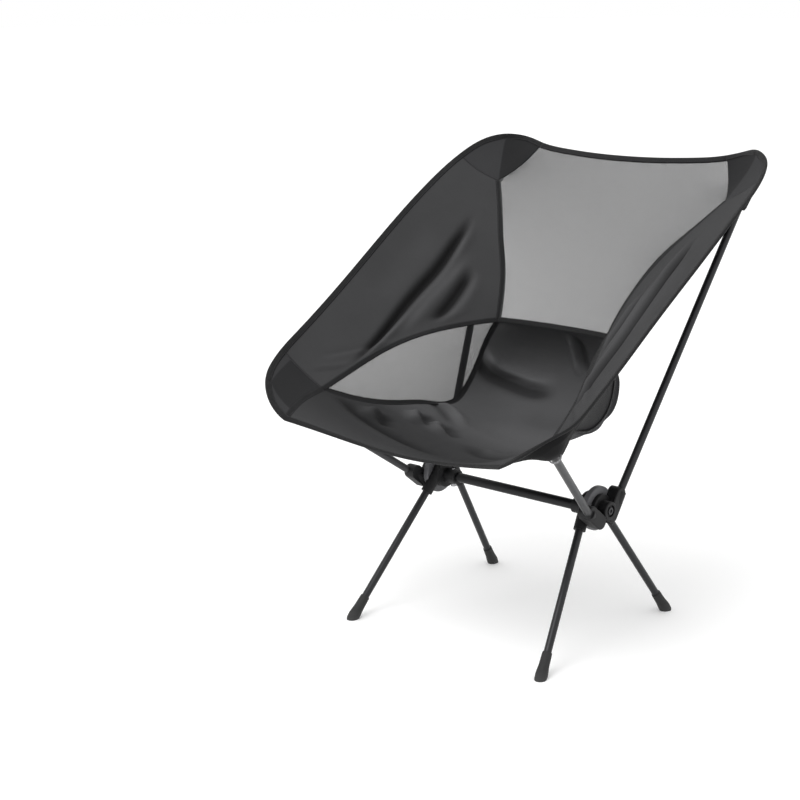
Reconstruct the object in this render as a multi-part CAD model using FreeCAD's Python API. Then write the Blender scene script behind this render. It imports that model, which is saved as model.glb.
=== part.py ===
"""Ultralight camping chair: two moulded hubs on a crossbar hold four legs and four poles,
and a mesh and fabric sling hangs from the pole tips.  Millimetres, +Z up, the sitter faces -Y.
Left and right are the sitter's: left is +X."""
import FreeCAD, Part
import math
import os

from FreeCAD import Vector

# Tubes
tube_radius = 5.4
tube_bore = 4.4
fit_gap = 0.05
crossbar_radius = 7.0
crossbar_bore = 5.6

# Middle of the chair's depth, measured from the crossbar
middle_y = 7.42

# Crossbar and hubs
crossbar_z = 187.0
crossbar_half = 128.0
collar_start = 106.0
collar_radius = 10.6
barrel_start = 126.0
barrel_end = 153.0
barrel_radius = 21.0
boss_end = 167.0
boss_radius = 13.0
boss_dish_radius = 8.5
boss_dish_depth = 2.5
ring_start = 138.0
ring_end = 147.0
ring_radius = 31.0
hub_z = 190.0
plate_radius = 10.5
plate_edge = 2.0

# Plates that tie the pole sockets to the hub: the middles of their rounded ends, and their two faces
plates = {"front": (Vector(0, -20, 179), Vector(0, -41, 196), 149.0, 166.5),
          "rear": (Vector(0, 12, 180), Vector(0, 30, 205), 146.0, 163.5)}

# A line down each leg: the place where it leaves its socket and where its axis meets the ground
leg_mouths = {"front": Vector(138, -31, 170), "rear": Vector(135, 34, 170)}
leg_ends = {"front": Vector(171, -162, 0), "rear": Vector(163, 150, 0)}
leg_depth = 30.0
leg_mouth_length = 5.0
leg_socket_radius = 8.6

# A line up each pole: a place in its socket and the middle of its tip
pole_bases = {"front": Vector(165, -55, 205), "rear": Vector(157, 33, 205)}
pole_tips = {"front": Vector(230.5, -217, 331.5), "rear": Vector(222.5, 246.5, 622)}
pole_depth = {"front": 44.0, "rear": 40.0}
pole_mouth = {"front": -14.0, "rear": 4.0}
pole_socket_radius = 8.9
socket_floor = 4.0
tip_radius = 5.8
tip_stem = 14.0
ferrule_lower = 34.0
ferrule_upper = 24.0
rear_pole_split = 0.5

# Feet
foot_length = 38.0
foot_radius = 8.6
foot_neck_radius = 6.7
foot_cover = 9.0

# Elastic cords inside the legs
cord_radius = 1.3
knot_radius = 2.8
cord_reach = 95.0

# Sling cloth
cloth = 1.6
edge_gap = 3.0
butt = 0.15
binding_radius = 2.1
hem_radius = 2.6
cup_radius = 9.4
cup_wall = 1.4
cup_skirt = 16.0
tip_travel = 8.0
pocket_bulge = {"front": -1.0, "rear": -4.5}

# Lines of the sling on the sitter's left, from the crossbar's middle
top_hem = [(0, 265, 638), (60, 267, 639), (115, 271, 642), (165, 277, 648)]
rear_corner_inner = [(165, 277, 648), (193, 279, 655), (222, 261, 660)]
rear_corner_outer = [(222, 261, 660), (250, 237, 652), (267, 200, 631)]
side_hem = [(267, 200, 631), (273, 135, 594), (272, 40, 535), (268, -60, 470), (267, -155, 410),
            (266, -190, 389)]
front_corner_outer = [(266, -190, 389), (261, -217, 371), (245, -241, 357)]
front_corner_inner = [(245, -241, 357), (220, -259, 341), (185, -265, 321)]
front_hem = [(185, -265, 321), (140, -251, 305), (72, -240, 295), (0, -236, 293)]
mesh_seam = [(203, 214, 594), (172, 180, 556), (142, 145, 516), (119, 121, 476), (104, 98, 437),
             (97, 83, 410)]
pocket_on_mesh = [(165, 277, 648), (187, 246, 613), (203, 214, 594)]
pocket_on_wing = [(203, 214, 594), (235, 204, 609), (267, 200, 631)]
pocket_on_front = [(202, -176, 339), (238, -181, 362), (266, -190, 389)]
pocket_on_seat = [(185, -265, 321), (198, -222, 331), (202, -176, 339)]
wing_edge = [(97, 83, 410), (125, 30, 407), (153, -27, 398), (178, -85, 379), (192, -132, 358),
             (202, -176, 339)]
seat_side = [(97, 83, 410), (114, 77, 378), (123, 65, 342), (126, 45, 313), (125, 18, 297)]
mesh_foot = [(125, 18, 297), (131, -40, 304), (146, -95, 312), (173, -143, 324), (202, -176, 339)]
back_seam = [(-97, 83, 410), (-50, 89, 410), (0, 91, 410), (50, 89, 410), (97, 83, 410)]
wing_split = Vector(272, 40, 535)
seat_middle = [(0, 91, 410), (0, 120, 380), (0, 132, 345), (0, 118, 306), (0, 84, 275), (0, 20, 254),
               (0, -60, 254), (0, -130, 264), (0, -190, 279), (0, -236, 293)]
seat_squareness = [2.0, 4.0, 5.0, 4.5, 3.5, 2.6, 2.4, 2.4, 2.6, 3.0]


def vectors(points, side=1):
    return [Vector(side * x, y, z) for x, y, z in points]


def flip(shape):
    return shape.mirror(Vector(0, 0, 0), Vector(1, 0, 0))


def mirrored(points):
    return [Vector(-p.x, p.y, p.z) for p in points]


class Line:
    """A smooth line through points, read by the share of its length."""

    def __init__(self, points):
        self.curve = Part.BSplineCurve()
        self.curve.interpolate(Points=points)
        self.length = self.curve.length()

    def at(self, share):
        share = min(max(share, 0.0), 1.0)
        first = self.curve.FirstParameter
        return self.curve.value(self.curve.parameterAtDistance(share * self.length, first))


def blend(a, b, share):
    return a * (1 - share) + b * share


def patch(left, right, near, far, columns, rows, bulge=0.0, insets=(1, 1, 1, 1)):
    """Points of a Coons patch, a little inside its four edges.  left and right run with v, near and far
    with u."""
    width = (near.length + far.length) / 2
    height = (left.length + right.length) / 2
    u_low, u_high = insets[0] * edge_gap / width, 1 - insets[1] * edge_gap / width
    v_low, v_high = insets[2] * edge_gap / height, 1 - insets[3] * edge_gap / height
    corners = [left.at(0), right.at(0), left.at(1), right.at(1)]
    grid = []
    for j in range(rows):
        v = v_low + (v_high - v_low) * j / (rows - 1)
        row = []
        for i in range(columns):
            u = u_low + (u_high - u_low) * i / (columns - 1)
            across = blend(left.at(v), right.at(v), u)
            along = blend(near.at(u), far.at(u), v)
            flat = blend(blend(corners[0], corners[1], u), blend(corners[2], corners[3], u), v)
            row.append(across + along - flat)
        grid.append(row)
    if bulge:
        normals = grid_normals(grid)
        for j, row in enumerate(grid):
            for i in range(columns):
                lift = math.sin(math.pi * i / (columns - 1)) * math.sin(math.pi * j / (rows - 1))
                row[i] = row[i] + normals[j][i] * (bulge * lift)
    return grid


def grid_normals(grid):
    rows, columns = len(grid), len(grid[0])
    normals = []
    for j in range(rows):
        line = []
        for i in range(columns):
            across = grid[j][min(i + 1, columns - 1)] - grid[j][max(i - 1, 0)]
            along = grid[min(j + 1, rows - 1)][i] - grid[max(j - 1, 0)][i]
            normal = across.cross(along)
            line.append(normal.normalize())
        normals.append(line)
    return normals


def skin(points):
    surface = Part.BSplineSurface()
    surface.interpolate(points)
    return surface


def boundary(surface):
    """The four edge curves of a surface, in the same order each time."""
    u0, u1, v0, v1 = surface.bounds()
    return [surface.uIso(u0), surface.uIso(u1), surface.vIso(v0), surface.vIso(v1)]


def sheet(grid, thickness=cloth):
    """A closed solid of even thickness around a grid of points."""
    normals = grid_normals(grid)
    half = thickness / 2
    above = [[p + n * half for p, n in zip(*line)] for line in zip(grid, normals)]
    below = [[p - n * half for p, n in zip(*line)] for line in zip(grid, normals)]
    top, bottom = skin(above), skin(below)
    faces = [top.toShape(), bottom.toShape()]
    for upper, lower in zip(boundary(top), boundary(bottom)):
        faces.append(Part.makeRuledSurface(upper.toShape(), lower.toShape()))
    shell = Part.makeShell(faces)
    shell.sewShape()
    solid = Part.Solid(shell)
    if solid.Volume < 0:
        solid.reverse()
    return solid


def tube_along(points, radius):
    """A round solid on straight runs joined by tangent arcs."""
    edges = []
    start = points[0]
    for before, corner, after in zip(points, points[1:], points[2:]):
        run_in, run_out = before - corner, after - corner
        reach = 0.45 * min(run_in.Length, run_out.Length)
        into, out = corner + run_in.normalize() * reach, corner + run_out.normalize() * reach
        half_turn = (math.pi - run_in.getAngle(run_out)) / 2
        arc_radius = reach / math.tan(half_turn)
        bisector = (run_in + run_out).normalize()
        centre = corner + bisector * (arc_radius / math.cos(half_turn))
        middle = centre - bisector * arc_radius
        edges.append(Part.LineSegment(start, into).toShape())
        edges.append(Part.Arc(into, middle, out).toShape())
        start = out
    edges.append(Part.LineSegment(start, points[-1]).toShape())
    path = Part.Wire(edges)
    direction = (points[1] - points[0]).normalize()
    profile = Part.Wire([Part.makeCircle(radius, points[0], direction)])
    return path.makePipeShell([profile], True, False)


def rod(start, end, radius):
    axis = end - start
    return Part.makeCylinder(radius, axis.Length, start, axis)


def tube(start, end):
    return rod(start, end, tube_radius).cut(rod(start, end, tube_bore))


def turned(profile, origin, axis):
    """A solid of revolution: profile holds (distance along the axis, radius) pairs from end to end."""
    points = [Vector(radius, 0, along) for along, radius in profile]
    wire = Part.makePolygon(points + [points[0]])
    body = Part.Face(wire).revolve(Vector(0, 0, 0), Vector(0, 0, 1), 360)
    turn = FreeCAD.Rotation(Vector(0, 0, 1), axis)
    body.Placement = FreeCAD.Placement(origin, turn)
    return body


def along_leg(end, distance):
    mouth = leg_mouths[end]
    return mouth + (leg_ends[end] - mouth).normalize() * distance


def along_pole(end, distance):
    base = pole_bases[end]
    return base + (pole_tips[end] - base).normalize() * distance


def pole_length(end):
    return (pole_tips[end] - pole_bases[end]).Length


def round_edges(body, face_x, radius):
    """Rounds every edge of a body that lies wholly in the plane x = face_x."""
    edges = [edge for edge in body.Edges if all(abs(v.X - face_x) < 0.001 for v in edge.Vertexes)]
    return body.makeFillet(radius, edges)


def socket_plate(end):
    """A plate with round ends that ties a pole's socket to the hub."""
    first, last, low, high = plates[end]
    run = (last - first).normalize()
    side = Vector(0, -run.z, run.y) * plate_radius
    lower, upper = first + side, last + side
    edges = [Part.makeLine(lower, upper),
             Part.Arc(upper, last + run * plate_radius, last - side).toShape(),
             Part.makeLine(last - side, first - side),
             Part.Arc(first - side, first - run * plate_radius, lower).toShape()]
    face = Part.Face(Part.Wire(edges))
    plate = face.extrude(Vector(high - low, 0, 0))
    plate.translate(Vector(low, 0, 0))
    return round_edges(plate, high, plate_edge)


def boss():
    """The round middle of the hub's outer face, a little dished."""
    x_axis = Vector(1, 0, 0)
    body = Part.makeCylinder(boss_radius, boss_end - barrel_start, Vector(barrel_start, 0, hub_z), x_axis)
    body = round_edges(body, boss_end, plate_edge)
    dish = Part.makeCylinder(boss_dish_radius, 20, Vector(boss_end - boss_dish_depth, 0, hub_z), x_axis)
    return body.cut(dish)


def hub():
    """One moulded hub: barrel, boss, two leg sockets, two pole sockets and the crossbar's collar."""
    x_axis = Vector(1, 0, 0)
    start = Vector(barrel_start, 0, hub_z)
    barrel = Part.makeCylinder(barrel_radius, barrel_end - barrel_start, start, x_axis)
    barrel = round_edges(barrel, barrel_end, plate_edge)
    length = crossbar_half - collar_start + 6
    collar = Part.makeCylinder(collar_radius, length, Vector(collar_start, 0, crossbar_z), x_axis)
    body = barrel.fuse(collar).fuse(boss())
    for end in ("front", "rear"):
        body = body.fuse(socket_plate(end))
        top = along_leg(end, -leg_depth - socket_floor)
        body = body.fuse(rod(top, along_leg(end, leg_mouth_length), leg_socket_radius))
        bottom = along_pole(end, -pole_depth[end] - socket_floor)
        body = body.fuse(rod(bottom, along_pole(end, pole_mouth[end]), pole_socket_radius))
    for end in ("front", "rear"):
        bore = tube_radius + fit_gap
        body = body.cut(rod(along_leg(end, -leg_depth), along_leg(end, 60), bore))
        body = body.cut(rod(along_pole(end, -pole_depth[end]), along_pole(end, 60), bore))
    bar = Part.makeCylinder(crossbar_radius + fit_gap, crossbar_half, Vector(0, 0, crossbar_z), x_axis)
    return body.cut(bar).cut(pin_hole(2.0 + fit_gap))


def pin_hole(radius):
    x = collar_start + 9
    return Part.makeCylinder(radius, 60, Vector(x, 0, crossbar_z - 30))


def hub_ring():
    """The rim round the hub's barrel.  The sockets pass through it and leave an upper and a lower arc."""
    x_axis = Vector(1, 0, 0)
    start = Vector(ring_start, 0, hub_z)
    ring = Part.makeCylinder(ring_radius, ring_end - ring_start, start, x_axis)
    ring = round_edges(round_edges(ring, ring_start, plate_edge), ring_end, plate_edge)
    ring = ring.cut(Part.makeCylinder(barrel_radius + fit_gap, 40, start - x_axis * 10, x_axis))
    for end in ("front", "rear"):
        bottom = along_pole(end, -pole_depth[end] - socket_floor - 1)
        ring = ring.cut(rod(bottom, along_pole(end, 60), pole_socket_radius + fit_gap))
        top = along_leg(end, -leg_depth - socket_floor - 1)
        ring = ring.cut(rod(top, along_leg(end, 60), leg_socket_radius + fit_gap))
        ring = ring.cut(socket_plate(end))
    return ring


def crossbar():
    x_axis = Vector(1, 0, 0)
    start = Vector(-crossbar_half, 0, crossbar_z)
    bar = Part.makeCylinder(crossbar_radius, 2 * crossbar_half, start, x_axis)
    bar = bar.cut(Part.makeCylinder(crossbar_bore, 2 * crossbar_half, start, x_axis))
    hole = pin_hole(2.0 + fit_gap)
    return bar.cut(hole).cut(flip(hole))


def crossbar_pins():
    """The pins that lock the crossbar into its collars, with a round head below."""
    x = collar_start + 9
    shank = Part.makeCylinder(2.0, 2 * collar_radius + 2, Vector(x, 0, crossbar_z - collar_radius - 1))
    head = Part.makeCylinder(4.0, 4.0, Vector(x, 0, crossbar_z - collar_radius - 4.5))
    pin = shank.fuse(head)
    return Part.makeCompound([pin, flip(pin)])


def leg(end):
    foot_end = along_leg(end, leg_length(end) - foot_cover)
    return tube(along_leg(end, -leg_depth), foot_end)


def leg_length(end):
    return (leg_ends[end] - leg_mouths[end]).Length


def foot(end):
    """A rubber boot on the leg's end, cut flat where it stands on the ground."""
    length = leg_length(end)
    top = along_leg(end, length - foot_length)
    axis = leg_ends[end] - leg_mouths[end]
    profile = [(0, 0), (0, foot_neck_radius - 0.6), (1.5, foot_neck_radius),
               (foot_length * 0.5, foot_neck_radius + 0.6),
               (foot_length * 0.72, foot_radius - 0.3), (foot_length * 0.84, foot_radius),
               (foot_length + 1, foot_radius - 0.6), (foot_length + 6, foot_radius - 3),
               (foot_length + 6, 0)]
    boot = turned(profile, top, axis)
    above = top - axis.normalize() * 5
    boot = boot.cut(rod(above, along_leg(end, length - foot_cover), tube_radius + 0.01))
    ground = Part.makeBox(80, 80, 40, Vector(leg_ends[end].x - 40, leg_ends[end].y - 40, -40))
    return boot.cut(ground)


def leg_cord(end):
    """The elastic cord that holds the leg in its socket, with its knot."""
    low = along_leg(end, cord_reach)
    return rod(along_leg(end, -leg_depth), low, cord_radius).fuse(Part.makeSphere(knot_radius, low))


def pole_tip(end):
    centre = pole_tips[end]
    stem = rod(along_pole(end, pole_length(end) - tip_radius - tip_stem), centre, tube_bore - fit_gap)
    return stem.fuse(Part.makeSphere(tip_radius, centre))


def front_pole():
    return tube(along_pole("front", -pole_depth["front"]), along_pole("front", pole_length("front") - 5))


def split_place():
    return pole_length("rear") * rear_pole_split


def rear_pole_lower():
    return tube(along_pole("rear", -pole_depth["rear"]), along_pole("rear", split_place()))


def rear_pole_upper():
    return tube(along_pole("rear", split_place()), along_pole("rear", pole_length("rear") - 5))


def ferrule():
    low, high = split_place() - ferrule_lower, split_place() + ferrule_upper
    return rod(along_pole("rear", low), along_pole("rear", high), tube_bore - fit_gap)


def pocket_cup(end):
    """The closed end of a corner pocket, round the pole's tip with room for the tip to move."""
    inner = cup_radius - cup_wall
    rise = tip_radius + tip_travel + 1.5 - inner
    profile = [(-cup_skirt, inner), (-cup_skirt, cup_radius)]
    for step in range(9):
        angle = math.radians(90 * step / 8)
        profile.append((rise + cup_radius * math.sin(angle), max(cup_radius * math.cos(angle), 0)))
    for step in range(9):
        angle = math.radians(90 - 90 * step / 8)
        profile.append((rise + inner * math.sin(angle), max(inner * math.cos(angle), 0)))
    axis = pole_tips[end] - pole_bases[end]
    return turned(profile, pole_tips[end], axis)


def left_lines():
    """The sling's seams and hems on the sitter's left, as smooth lines."""
    named = {"top": top_hem, "rear_in": rear_corner_inner, "rear_out": rear_corner_outer, "side": side_hem,
             "front_out": front_corner_outer, "front_in": front_corner_inner, "front": front_hem,
             "seam": mesh_seam, "pocket_mesh": pocket_on_mesh, "pocket_wing": pocket_on_wing,
             "pocket_front": pocket_on_front, "pocket_seat": pocket_on_seat, "wing_edge": wing_edge,
             "seat_side": seat_side, "mesh_foot": mesh_foot}
    return {name: Line(vectors(points)) for name, points in named.items()}


def back_mesh():
    """The see-through panel behind the sitter's back."""
    side_points = vectors(pocket_on_mesh)[:-1] + vectors(mesh_seam)
    right = Line(side_points)
    left = Line(mirrored(side_points))
    hem = mirrored(vectors(top_hem))[::-1] + vectors(top_hem)[1:]
    return sheet(patch(left, right, Line(hem), Line(vectors(back_seam)), 11, 11, bulge=6))


def wing(lines):
    """The solid cloth from the back mesh's seam out to the side hem, folded along one line."""
    hem = [lines["side"].at(k / 12) for k in range(13)]
    nearest = min(range(13), key=lambda k: (hem[k] - wing_split).Length)
    corner = lines["seam"].at(1)
    fold = Line([corner, blend(corner, hem[nearest], 0.5), hem[nearest]])
    upper = patch(lines["seam"], Line(hem[:nearest + 1]), lines["pocket_wing"], fold, 6, 8,
                  insets=(1, 1, butt, 0))
    lower = patch(lines["wing_edge"], Line(hem[nearest:]), fold, lines["pocket_front"], 6, 8,
                  insets=(1, 1, 0, butt))
    middle = [blend(a, b, 0.5) for a, b in zip(upper[-1], lower[0])]
    return sheet(upper[:-1] + [middle] + lower[1:])


def side_mesh(lines):
    """The see-through triangle beside the seat."""
    tip = lines["mesh_foot"].at(1)
    upper = Line([lines["wing_edge"].at(k / 10) for k in range(10)])
    lower = Line([lines["mesh_foot"].at(k / 10) for k in range(10)])
    front = Line([upper.at(1), blend(upper.at(1), lower.at(1), 0.5), lower.at(1)])
    return sheet(patch(upper, lower, lines["seat_side"], front, 7, 8))


def seat():
    """The bucket that carries the sitter, from the back seam down and forward to the front hem."""
    side_points = vectors(seat_side) + vectors(mesh_foot)[1:] + vectors(pocket_on_seat)[::-1][1:]
    side, middle = Line(side_points), Line(vectors(seat_middle))
    rows, columns = 19, 13
    grid = []
    for j in range(rows):
        v = 0.006 + 0.988 * j / (rows - 1)
        edge, centre = side.at(v), middle.at(v)
        place = v * (len(seat_squareness) - 1)
        low = min(int(place), len(seat_squareness) - 2)
        power = seat_squareness[low] + (seat_squareness[low + 1] - seat_squareness[low]) * (place - low)
        row = []
        for i in range(columns):
            s = math.sin(math.pi / 2 * (2 * i / (columns - 1) - 1)) * (1 - edge_gap / edge.x)
            share = abs(s) ** power
            row.append(Vector(edge.x * s, centre.y + (edge.y - centre.y) * share,
                              centre.z + (edge.z - centre.z) * abs(s) ** max(power - 1, 2)))
        grid.append(row)
    return sheet(grid)


def rear_pocket(lines):
    return sheet(patch(lines["pocket_mesh"], lines["rear_out"], lines["rear_in"], lines["pocket_wing"], 7, 7,
                       bulge=pocket_bulge["rear"], insets=(1, 1, 1, butt)))


def front_pocket(lines):
    back = Line([lines["pocket_seat"].at(1 - k / 6) for k in range(7)])
    hem = Line([lines["front_in"].at(1 - k / 6) for k in range(7)])
    return sheet(patch(back, lines["front_out"], lines["pocket_front"], hem, 7, 7,
                       bulge=pocket_bulge["front"], insets=(butt, 1, butt, 1)))


def round_line(points, radius, runs):
    """A round solid along the smooth line through the points, in straight runs joined by arcs."""
    line = Line(points)
    return tube_along([line.at(k / runs) for k in range(runs + 1)], radius)


def across(half, radius, runs):
    """A round hem or seam from side to side, from the points of its left half."""
    points = vectors(half)
    return round_line(mirrored(points)[::-1][:-1] + points, radius, runs)


def side_trim():
    """Bound hems and seam tapes on the sitter's left."""
    corner = front_corner_outer[1:] + front_corner_inner[1:]
    hem = rear_corner_inner + rear_corner_outer[1:] + side_hem[1:] + corner
    back = pocket_on_mesh[:-1] + mesh_seam[:-1] + [(98, 85, 414)]
    under_wing = [(101, 76, 410)] + wing_edge[1:-1] + [(199, -169, 341.5)]
    beside_seat = [(98.5, 81, 405)] + seat_side[1:] + mesh_foot[1:-1] + [(197, -169, 336)]
    return {"sling_hem_side": round_line(vectors(hem), hem_radius, 40),
            "sling_seam_back": round_line(vectors(back), binding_radius, 16),
            "sling_seam_wing": round_line(vectors(under_wing), binding_radius, 16),
            "sling_seam_seat": round_line(vectors(beside_seat), binding_radius, 20)}


def trimmed(panel, trims):
    """A panel cut back to the hems and seam tapes along its edges, without the loose crumbs."""
    for trim in trims:
        panel = panel.cut(trim)
    return max(panel.Solids, key=lambda solid: solid.Volume)


def write(name, shape):
    shape.translate(Vector(0, -middle_y, 0))
    shape.exportStep("parts/" + name + ".step")
    box = shape.BoundBox
    kind = "ok" if shape.isValid() else "INVALID"
    print(f"{name:28s} {kind} {len(shape.Solids)} solid(s) volume {shape.Volume:10.1f}",
          f"y {box.YMin:7.1f} {box.YMax:7.1f} z {box.ZMin:7.1f} {box.ZMax:7.1f}")


def write_pair(name, shape):
    write(name + "_left", shape.copy())
    write(name + "_right", flip(shape))


def write_frame():
    write("crossbar", crossbar())
    write("crossbar_pins", crossbar_pins())
    write_pair("hub", hub())
    write_pair("hub_ring", hub_ring())
    for end in ("front", "rear"):
        write_pair("leg_" + end, leg(end))
        write_pair("foot_" + end, foot(end))
        write_pair("leg_cord_" + end, leg_cord(end))
        write_pair("pole_tip_" + end, pole_tip(end))
        write_pair("pocket_cup_" + end, pocket_cup(end))
    write_pair("pole_front", front_pole())
    write_pair("pole_rear_lower", rear_pole_lower())
    write_pair("pole_rear_upper", rear_pole_upper())
    write_pair("ferrule", ferrule())


def write_sling():
    lines = left_lines()
    left = side_trim()
    right = {name: flip(trim) for name, trim in left.items()}
    hem, back, under, beside = (left[name] for name in left)
    top = across(top_hem[:-1] + [(162, 276.5, 647.4)], hem_radius, 12)
    front = across(front_hem[::-1][:-1] + [(181, -264.5, 319.5)], hem_radius, 16)
    middle = across([(0, 91, 410), (50, 89, 410), (93, 84, 410)], binding_radius, 8)
    write("sling_back_mesh", trimmed(back_mesh(), [back, right["sling_seam_back"], top, middle]))
    write("sling_seat", trimmed(seat(), [beside, right["sling_seam_seat"], front, middle]))
    write_pair("sling_wing", trimmed(wing(lines), [hem, back, under]))
    write_pair("sling_side_mesh", trimmed(side_mesh(lines), [under, beside]))
    write_pair("sling_pocket_rear", trimmed(rear_pocket(lines), [hem, back]))
    write_pair("sling_pocket_front", trimmed(front_pocket(lines), [hem, beside]))
    write_pair("sling_hem_side", hem)
    write_pair("sling_seam_back", trimmed(back, [hem]))
    write_pair("sling_seam_wing", under)
    write_pair("sling_seam_seat", beside)
    write("sling_hem_top", top)
    write("sling_hem_front", front)
    write("sling_seam_middle", middle)


def main():
    os.makedirs("parts", exist_ok=True)
    write_frame()
    write_sling()


main()
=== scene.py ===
import math
import bpy
import bmesh
import numpy as np
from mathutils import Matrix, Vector


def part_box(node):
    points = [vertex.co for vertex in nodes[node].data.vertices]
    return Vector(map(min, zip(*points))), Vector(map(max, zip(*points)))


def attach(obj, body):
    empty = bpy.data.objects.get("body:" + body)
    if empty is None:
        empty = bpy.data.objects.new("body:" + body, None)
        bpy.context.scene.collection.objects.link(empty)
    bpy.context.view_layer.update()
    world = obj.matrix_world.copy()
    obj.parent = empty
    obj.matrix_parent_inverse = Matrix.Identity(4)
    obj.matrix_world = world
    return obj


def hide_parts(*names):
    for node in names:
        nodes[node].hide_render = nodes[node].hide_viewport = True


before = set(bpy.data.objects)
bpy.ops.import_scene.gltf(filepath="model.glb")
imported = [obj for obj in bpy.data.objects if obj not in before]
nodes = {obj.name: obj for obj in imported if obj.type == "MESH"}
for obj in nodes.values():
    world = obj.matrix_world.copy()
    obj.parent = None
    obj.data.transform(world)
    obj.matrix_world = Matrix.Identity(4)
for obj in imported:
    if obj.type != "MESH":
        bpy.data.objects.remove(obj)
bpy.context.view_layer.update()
bpy.ops.object.select_all(action="DESELECT")
print("chair: frame loaded,", len(nodes), "nodes")

barLow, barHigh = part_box("crossbar")
barY = (barLow.y + barHigh.y) / 2

# camera, floor and light
view = {"azimuth": 38.45, "tilt": 14.48, "place": (1.350, -1.700, 0.866), "lens": 71.8,
        "shift": (-0.1438, 0.0125)}
studio = {"sky": 1.0, "floorSize": 80, "floorPlace": (0, 20, 0), "floorTone": (0.95, 0.95, 0.948, 1),
          "floorRough": 0.9, "floorGlow": 0.12, "key": 26, "keySize": 1.5, "keyPlace": (0.2, -1.7, 2.3),
          "keyTarget": (0, 0, 0.3), "sun": 0.5, "sunSpread": 50, "sunLean": (24, -12)}


def makeCamera():
    x, y, z = view["place"]
    bpy.ops.object.camera_add(location=(x, y + barY, z))
    camera = bpy.context.object
    camera.rotation_euler = (math.radians(90 - view["tilt"]), 0, math.radians(view["azimuth"]))
    camera.data.lens = view["lens"]
    camera.data.shift_x, camera.data.shift_y = view["shift"]
    bpy.context.scene.camera = camera


def makeLights():
    bpy.ops.object.light_add(type="AREA", location=studio["keyPlace"])
    lamp = bpy.context.object
    lamp.name = "keyLight"
    lamp.data.shape = "DISK"
    lamp.data.size = studio["keySize"]
    lamp.data.energy = studio["key"]
    aim = Vector(studio["keyTarget"]) - Vector(studio["keyPlace"])
    lamp.rotation_euler = aim.to_track_quat("-Z", "Y").to_euler()
    bpy.ops.object.light_add(type="SUN", location=(0, 0, 3))
    sun = bpy.context.object
    sun.name = "overheadSun"
    sun.data.energy = studio["sun"]
    sun.data.angle = math.radians(studio["sunSpread"])
    leanX, leanY = studio["sunLean"]
    sun.rotation_euler = (math.radians(leanX), math.radians(leanY), 0)


def makeStudio():
    bpy.ops.mesh.primitive_plane_add(size=studio["floorSize"], location=studio["floorPlace"])
    floor = bpy.context.object
    floor.name = "studioFloor"
    floorPaper = bpy.data.materials.new("floorPaper")
    floorPaper.use_nodes = True
    shader = floorPaper.node_tree.nodes["Principled BSDF"]
    shader.inputs["Base Color"].default_value = studio["floorTone"]
    shader.inputs["Roughness"].default_value = studio["floorRough"]
    shader.inputs["Emission Color"].default_value = (1, 1, 1, 1)
    shader.inputs["Emission Strength"].default_value = studio["floorGlow"]
    floor.data.materials.append(floorPaper)
    sky = bpy.data.worlds.new("softSky")
    sky.use_nodes = True
    sky.node_tree.nodes["Background"].inputs["Color"].default_value = (1, 1, 1, 1)
    sky.node_tree.nodes["Background"].inputs["Strength"].default_value = studio["sky"]
    bpy.context.scene.world = sky
    bpy.context.scene.view_settings.view_transform = "Standard"
    makeLights()


# materials
def newMaterial(name):
    made = bpy.data.materials.new(name)
    made.use_nodes = True
    return made, made.node_tree, made.node_tree.nodes["Principled BSDF"]


def addNode(tree, kind, **settings):
    node = tree.nodes.new(kind)
    for key, value in settings.items():
        setattr(node, key, value)
    return node


def noiseOf(tree, vector, scale, detail=3.0, rough=0.55):
    noise = addNode(tree, "ShaderNodeTexNoise")
    noise.inputs["Scale"].default_value = scale
    noise.inputs["Detail"].default_value = detail
    noise.inputs["Roughness"].default_value = rough
    tree.links.new(vector, noise.inputs["Vector"])
    return noise.outputs["Fac"]


def mathOf(tree, operation, a, b=None, c=None, clamp=False):
    node = addNode(tree, "ShaderNodeMath", operation=operation, use_clamp=clamp)
    for socket, value in zip(node.inputs, (a, b, c)):
        if value is None:
            continue
        if isinstance(value, (int, float)):
            socket.default_value = value
        else:
            tree.links.new(value, socket)
    return node.outputs[0]


def rampOf(tree, value, low, high):
    ramp = addNode(tree, "ShaderNodeMapRange")
    tree.links.new(value, ramp.inputs["Value"])
    ramp.inputs["To Min"].default_value = low
    ramp.inputs["To Max"].default_value = high
    return ramp.outputs["Result"]


def shade(tone, factor):
    return tuple(c * factor for c in tone) + (1,)


def mixColour(tree, factor, first, second):
    mix = addNode(tree, "ShaderNodeMix", data_type="RGBA")
    tree.links.new(factor, mix.inputs["Factor"])
    for socket, value in ((mix.inputs[6], first), (mix.inputs[7], second)):
        if isinstance(value, tuple):
            socket.default_value = value
        else:
            tree.links.new(value, socket)
    return mix.outputs[2]


def bumpOf(tree, height, strength, distance, under=None):
    bump = addNode(tree, "ShaderNodeBump")
    bump.inputs["Strength"].default_value = strength
    bump.inputs["Distance"].default_value = distance
    tree.links.new(height, bump.inputs["Height"])
    if under is not None:
        tree.links.new(under, bump.inputs["Normal"])
    return bump.outputs["Normal"]


def threadWave(tree, vector, axis, pitch):
    split = addNode(tree, "ShaderNodeSeparateXYZ")
    tree.links.new(vector, split.inputs[0])
    turns = mathOf(tree, "MULTIPLY", split.outputs[axis], 2 * math.pi / pitch)
    return mathOf(tree, "SINE", turns)


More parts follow.
